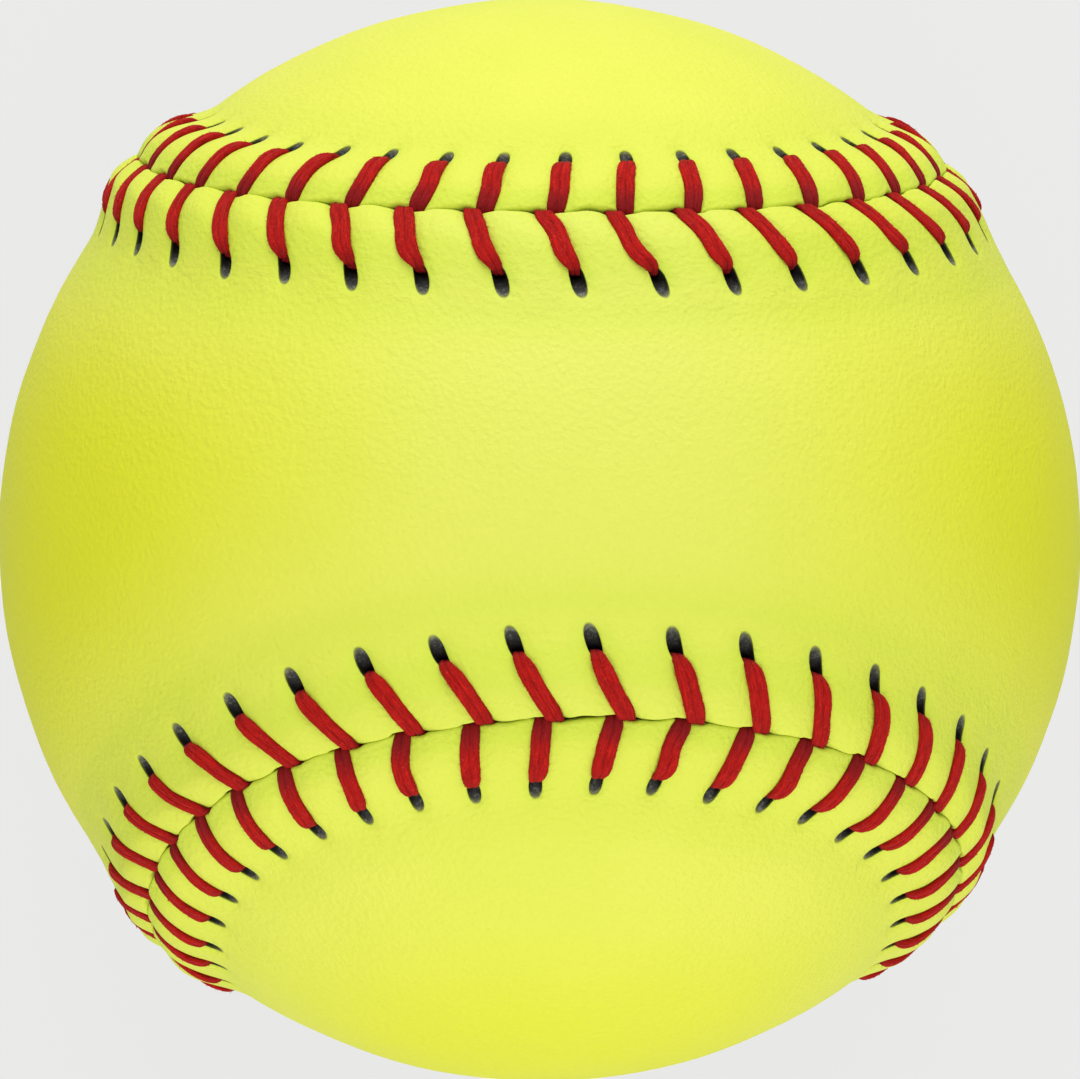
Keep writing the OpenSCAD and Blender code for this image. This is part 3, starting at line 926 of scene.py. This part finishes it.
def attribute(tree, name, output="Fac"):
    return add(tree, "ShaderNodeAttribute", attribute_name=name).outputs[output]


def math_node(tree, operation, a, b, clamp=False):
    inputs = {0: a, 1: b}
    return add(tree, "ShaderNodeMath", inputs, operation=operation, use_clamp=clamp).outputs[0]


def product(tree, a, b):
    return math_node(tree, "MULTIPLY", a, b)


def vector_math(tree, operation, a, b):
    return add(tree, "ShaderNodeVectorMath", {0: a, 1: b}, operation=operation).outputs[0]


def mix(tree, share, a, b):
    """The colour a, or b where share is 1."""
    return add(tree, "ShaderNodeMix", {0: share, 6: a, 7: b}, data_type="RGBA").outputs[2]


def ranged(tree, value, low, high, to_low=0.0, to_high=1.0):
    """A value from the range low to high moved to another range, and held inside it."""
    inputs = {0: value, 1: low, 2: high, 3: to_low, 4: to_high}
    return add(tree, "ShaderNodeMapRange", inputs, clamp=True).outputs[0]


def noise(tree, vector, scale, detail=2.0, roughness=0.5, distortion=0.0):
    inputs = {"Vector": vector, "Scale": scale, "Detail": detail, "Roughness": roughness}
    inputs["Distortion"] = distortion
    return add(tree, "ShaderNodeTexNoise", inputs).outputs["Fac"]


def bump(tree, height, distance, normal=None):
    inputs = {"Height": height, "Distance": distance, "Strength": 1.0}
    if normal is not None:
        inputs["Normal"] = normal
    return add(tree, "ShaderNodeBump", inputs).outputs["Normal"]


def leather_material():
    made, tree = material("cover_leather")
    here = object_place(tree)
    inside_and_shade, grey = attribute(tree, "inside_and_shade"), attribute(tree, "grey")
    groove, flank, crease = (attribute(tree, k) for k in ("groove", "flank", "crease"))
    strip = attribute(tree, "strip", "Vector")

    blotch = noise(tree, here, 70, 3)
    colour = mix(tree, ranged(tree, blotch, 0.35, 0.65), *LEATHER)
    # Painted shade towards the middle of the lobes, and painted sheen in the waist
    colour = mix(tree, attribute(tree, "lobe_shade"), colour, LOBE_SHADE_LEATHER)
    colour = mix(tree, attribute(tree, "painted_sheen"), colour, SHEEN_LEATHER)
    # Painted shade beside the threads and on the raised seam
    groove = product(tree, groove, GROOVE_SHADE)
    shade = math_node(tree, "ADD", groove, product(tree, flank, FLANK_SHADE), clamp=True)
    colour = mix(tree, shade, colour, SHADED_LEATHER)

    # The grain: small cells with uneven borders, and finer noise
    warp = {"Vector": here, "Scale": 900.0, "Detail": 1.0}
    warped = add(tree, "ShaderNodeTexNoise", warp).outputs["Color"]
    bent = vector_math(tree, "MULTIPLY", warped, (0.0003, 0.0003, 0.0003))
    cell = {"Vector": vector_math(tree, "ADD", here, bent), "Scale": 2300.0}
    cells = add(tree, "ShaderNodeTexVoronoi", cell, feature="SMOOTH_F1").outputs["Distance"]
    fine = noise(tree, here, 5200, 2)
    grain = math_node(tree, "ADD", product(tree, cells, -0.7), product(tree, fine, 0.4))

    # The creases of the raised seam, stronger in some places than in others
    stretched = vector_math(tree, "MULTIPLY", strip, (0.7, 0.7, 1.4))
    folds = noise(tree, stretched, 1.0, 2, 0.55, 0.6)
    patches = ranged(tree, noise(tree, here, 160, 1), 0.4, 0.6, 0.3, 1.0)
    folds = product(tree, folds, product(tree, crease, patches))

    # Darker and greener in the grain's hollows
    grain_hollows = ranged(tree, cells, 0.15, 0.6)
    colour = mix(tree, product(tree, grain_hollows, GRAIN_HOLLOW_SHARE), colour, GRAIN_HOLLOW_LEATHER)

    # Painted shade, nearly black, in the slit and needle holes, with grey light painted on a
    # hole's sloped end; the leather's inside is dark grey
    speck = ranged(tree, noise(tree, here, 3000, 3, 0.75), 0.5, 0.66, 0, 1.6)
    speck = math_node(tree, "ADD", speck, 0.45)
    inner = mix(tree, product(tree, grey, speck), SHADE_AND_INSIDE_DARK, SLOPE_LIGHT_AND_INSIDE_GREY)
    colour = mix(tree, inside_and_shade, colour, inner)

    normal = bump(tree, folds, FOLD_H, bump(tree, grain, GRAIN_H))
    rough = ranged(tree, fine, 0.3, 0.7, 0.52, 0.62)
    principled(tree, {
        "Base Color": colour, "Roughness": rough, "Normal": normal, "Specular IOR Level": 0.16,
    })
    return made


def thread_material():
    made, tree = material("red_thread")
    fibre, dark = attribute(tree, "fibre", "Vector"), attribute(tree, "dark")
    # Fine lines that run along the thread
    lines_at = vector_math(tree, "MULTIPLY", fibre, (0.9, 2.6, 7.0))
    lines = noise(tree, lines_at, 1.0, 3, 0.6, 0.8)
    here = object_place(tree)
    fuzz = noise(tree, here, 5000, 2, 0.6)
    colour = mix(tree, ranged(tree, lines, 0.35, 0.68), *RED)
    colour = mix(tree, ranged(tree, fuzz, 0.58, 0.78, 0, 0.35), colour, LIGHT_RED)
    # Painted shade where the legs go down into the needle holes and the slit
    colour = mix(tree, product(tree, dark, 0.75), colour, DARK_RED)
    normal = bump(tree, fuzz, FUZZ_H, bump(tree, lines, FIBRE_H))
    principled(tree, {
        "Base Color": colour, "Roughness": 0.7, "Normal": normal,
        "Specular IOR Level": 0.1, "Sheen Weight": 0.05, "Sheen Roughness": 0.4,
        "Sheen Tint": SHEEN_RED,
    })
    return made


def core_material():
    made, tree = material("cork_rubber")
    here = object_place(tree)
    grains = add(tree, "ShaderNodeTexVoronoi", {"Vector": here, "Scale": 420.0, "Randomness": 1.0})
    tone = add(tree, "ShaderNodeSeparateColor", {0: grains.outputs["Color"]}).outputs[0]
    cork = mix(tree, tone, *CORK)
    colour = mix(tree, ranged(tree, tone, 0.78, 0.8), cork, RUBBER)
    normal = bump(tree, grains.outputs["Distance"], 0.0004)
    principled(tree, {"Base Color": colour, "Roughness": 0.8, "Normal": normal})
    return made


def yarn_material():
    made, tree = material("yarn")
    here = object_place(tree)
    height = None
    # Bands of yarn in three directions, the highest one showing
    for turn in ((0.3, 0.9, 0.2), (1.2, -0.5, 0.8), (-0.7, 0.4, 1.5)):
        turned = add(tree, "ShaderNodeMapping", {"Vector": here, "Rotation": turn}).outputs[0]
        inputs = {"Vector": turned, "Scale": 130.0, "Distortion": 1.2, "Detail": 1.0}
        band = add(tree, "ShaderNodeTexWave", inputs, wave_type="BANDS").outputs["Fac"]
        height = band if height is None else math_node(tree, "MAXIMUM", height, band)
    colour = mix(tree, height, *YARN)
    principled(tree, {
        "Base Color": colour, "Roughness": 0.85, "Normal": bump(tree, height, 0.0006),
        "Sheen Weight": 0.3,
    })
    return made


def cement_material():
    made, tree = material("rubber_cement")
    here = object_place(tree)
    runs = noise(tree, here, 90, 4, 0.6, 1.0)
    colour = mix(tree, runs, *CEMENT)
    principled(tree, {
        "Base Color": colour, "Roughness": ranged(tree, runs, 0.3, 0.7, 0.25, 0.5),
        "Normal": bump(tree, runs, 0.0005),
    })
    return made


# ---- The pieces ----

leather, red = leather_material(), thread_material()
for piece, made, node_name, slot in (
    (panel("top_cover_leather", TOP), leather, "top_cover_panel", "cover_leather"),
    (panel("bottom_cover_leather", BOTTOM), leather, "bottom_cover_panel", "cover_leather"),
    (thread("first_red_thread", TOP, 3), red, "first_thread", "red_thread"),
    (thread("second_red_thread", BOTTOM, 7), red, "second_thread", "red_thread"),
):
    piece.data.materials.append(made)
    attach(piece, "root")
    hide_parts(node_name)

for node_name, slot, made in (
    ("core", "cork_rubber", core_material()),
    ("yarn_winding", "yarn", yarn_material()),
    ("cement_coat", "rubber_cement", cement_material()),
):
    obj = frame["nodes"][node_name]
    obj.data.materials.clear()
    obj.data.materials.append(made)

# ---- Floor, lights and camera ----

BACKGROUND = (0.8308, 0.8308, 0.8308, 1)
AMBIENT = 0.88
# Each lamp's tilt from straight above, towards the top of the picture, and its power in watts.
# The lamps stand 1 m from the ball and shine at it.
LAMPS = [("light_up", 66, 5.7), ("light_high_down", -55, 2.3), ("light_low_down", -93, 5.3)]
LAMP_SIZE = (0.7, 0.5)
# Half the floor's width, in metres as the lamps' sizes are
FLOOR_HALF = 2.5
FLOOR_GREY = (0.4, 0.4, 0.4, 1)
# How bright the floor's own light is, and its share of what the camera sees of the floor
FLOOR_GLOW, FLOOR_GLOW_SHARE = 1.11, 0.8


def directly_seen(tree):
    """1 for what the camera sees, also in a reflection or through glass."""
    path = add(tree, "ShaderNodeLightPath").outputs
    seen = math_node(tree, "MAXIMUM", path["Is Camera Ray"], path["Is Glossy Ray"])
    return math_node(tree, "MAXIMUM", seen, path["Is Transmission Ray"])


def floor():
    corners = np.array([[-1, -1, 0], [1, -1, 0], [1, 1, 0], [-1, 1, 0]], float) * FLOOR_HALF / MM
    corners[:, 2] = -BALL_R
    obj = make_object("floor", corners, [np.array([[0, 1, 2, 3]])], {})
    made, tree = material("floor")
    lit = add(tree, "ShaderNodeBsdfDiffuse", {"Color": FLOOR_GREY}).outputs[0]
    glow = {"Color": BACKGROUND, "Strength": FLOOR_GLOW}
    plain = add(tree, "ShaderNodeEmission", glow).outputs[0]
    share = product(tree, directly_seen(tree), FLOOR_GLOW_SHARE)
    shader = add(tree, "ShaderNodeMixShader", {0: share, 1: lit, 2: plain}).outputs[0]
    finish_material(tree, shader)
    obj.data.materials.append(made)


def area_light(name, location, energy):
    data = bpy.data.lights.new(name, "AREA")
    data.shape = "RECTANGLE"
    data.size, data.size_y = LAMP_SIZE
    data.energy = energy
    obj = bpy.data.objects.new(name, data)
    bpy.context.scene.collection.objects.link(obj)
    obj.location = location
    obj.rotation_mode = "QUATERNION"
    obj.rotation_quaternion = Vector(location).to_track_quat("Z", "Y")
    obj.visible_camera = False


def world():
    made = bpy.data.worlds.new("world")
    made.use_nodes = True
    tree = made.node_tree
    tree.nodes.clear()
    ambient, plain = (
        add(tree, "ShaderNodeBackground", {"Color": colour, "Strength": strength}).outputs[0]
        for colour, strength in (((1, 1, 1, 1), AMBIENT), (BACKGROUND, 1.0))
    )
    inputs = {0: directly_seen(tree), 1: ambient, 2: plain}
    shader = add(tree, "ShaderNodeMixShader", inputs).outputs[0]
    add(tree, "ShaderNodeOutputWorld", {"Surface": shader})
    bpy.context.scene.world = made


# The photograph's camera: its three directions, its distance in metres and its lens
CAMERA_RIGHT = Vector((0.9961, -0.0172, 0.0861))
CAMERA_UP = Vector((0.0045, 0.9894, 0.1454))
CAMERA_BACK = Vector((-0.0877, -0.1444, 0.9856))
CAMERA_REACH, CAMERA_LENS = 0.771, 312.2


def camera():
    data = bpy.data.cameras.new("camera")
    data.lens, data.sensor_width = CAMERA_LENS, 36
    data.clip_start, data.clip_end = 0.01, 20
    obj = bpy.data.objects.new("camera", data)
    bpy.context.scene.collection.objects.link(obj)
    turn = Matrix((CAMERA_RIGHT, CAMERA_UP, CAMERA_BACK)).transposed().to_4x4()
    obj.matrix_world = Matrix.Translation(CAMERA_BACK * CAMERA_REACH) @ turn
    bpy.context.scene.camera = obj


floor()
for name, tilt, energy in LAMPS:
    angle = math.radians(tilt)
    area_light(name, (0.0, math.sin(angle), math.cos(angle)), energy)
world()
camera()
bpy.context.scene.view_settings.view_transform = "Standard"
